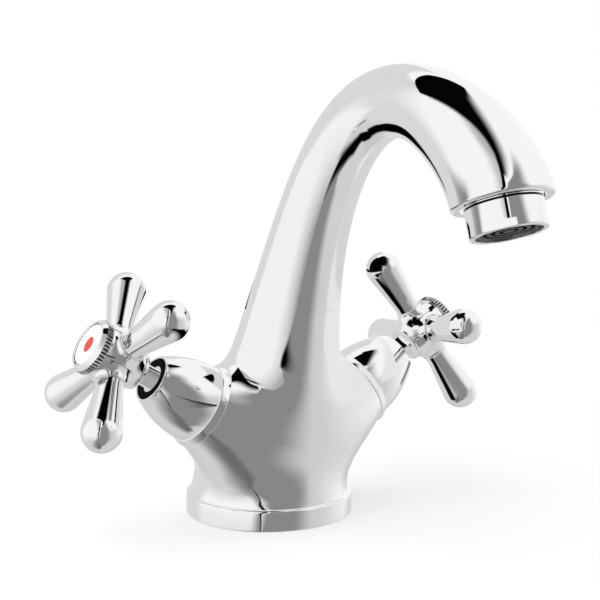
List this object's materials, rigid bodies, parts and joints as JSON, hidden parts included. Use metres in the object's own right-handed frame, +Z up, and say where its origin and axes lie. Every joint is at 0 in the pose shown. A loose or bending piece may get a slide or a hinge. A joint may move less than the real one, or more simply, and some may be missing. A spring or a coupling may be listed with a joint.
{
  "type": "two-handle basin tap",
  "caption": "Polished chrome basin tap with a fixed swan-neck spout, slanted cross handles with teardrop arms, bell-shaped bonnets and an aerator at the outlet.",
  "frame": {"origin": "centre of the base's underside, at the mouth of the fixing-stud hole", "axes": "+Z up, spout towards -Y, hot handle at -X, cold handle at +X"},
  "size_m": [0.1666, 0.1653, 0.1541],
  "materials": {
    "chrome": "mirror-polished chrome plate",
    "brass": "machined",
    "steel": "plain stainless",
    "ceramic": "lapped white ceramic",
    "black_rubber": "matt",
    "black_plastic": "matt black",
    "dark_plastic": "satin dark grey",
    "white_enamel": "glossy white",
    "hot_enamel": "glossy red",
    "cold_enamel": "glossy blue"
  },
  "bodies": {
    "tap": {"body": "chrome", "base_seal": "black_rubber", "aerator_shell": "chrome", "aerator_insert": "dark_plastic", "aerator_screen": "steel", "aerator_washer": "black_rubber", "hot_bonnet": "chrome", "hot_bonnet_bush": "black_plastic", "hot_valve_housing": "brass", "hot_seat_gasket": "black_rubber", "hot_fixed_disc": "ceramic", "cold_bonnet": "chrome", "cold_bonnet_bush": "black_plastic", "cold_valve_housing": "brass", "cold_seat_gasket": "black_rubber", "cold_fixed_disc": "ceramic"},
    "hot_handle": {"hot_spindle": "brass", "hot_spindle_oring": "black_rubber", "hot_spindle_clip": "steel", "hot_moving_disc": "ceramic", "hot_handle_neck": "chrome", "hot_handle_hub": "chrome", "hot_handle_arm_1": "chrome", "hot_handle_arm_2": "chrome", "hot_handle_arm_3": "chrome", "hot_handle_arm_4": "chrome", "hot_index_ring": "chrome", "hot_index_disc": "white_enamel", "hot_index_mark": "hot_enamel", "hot_handle_screw": "steel"},
    "cold_handle": {"cold_spindle": "brass", "cold_spindle_oring": "black_rubber", "cold_spindle_clip": "steel", "cold_moving_disc": "ceramic", "cold_handle_neck": "chrome", "cold_handle_hub": "chrome", "cold_handle_arm_1": "chrome", "cold_handle_arm_2": "chrome", "cold_handle_arm_3": "chrome", "cold_handle_arm_4": "chrome", "cold_index_ring": "chrome", "cold_index_disc": "white_enamel", "cold_index_mark": "cold_enamel", "cold_handle_screw": "steel"}
  },
  "joints": [
    {"name": "hot_turn", "type": "hinge", "parent": "tap", "child": "hot_handle", "pos_m": [-0.03163, -0.0085, 0.0425], "axis": [-0.8567, 0, 0.5158], "range_deg": [0, 90]},
    {"name": "cold_turn", "type": "hinge", "parent": "tap", "child": "cold_handle", "pos_m": [0.03163, -0.0085, 0.0425], "axis": [0.8567, 0, 0.5158], "range_deg": [-90, 0]}
  ]
}
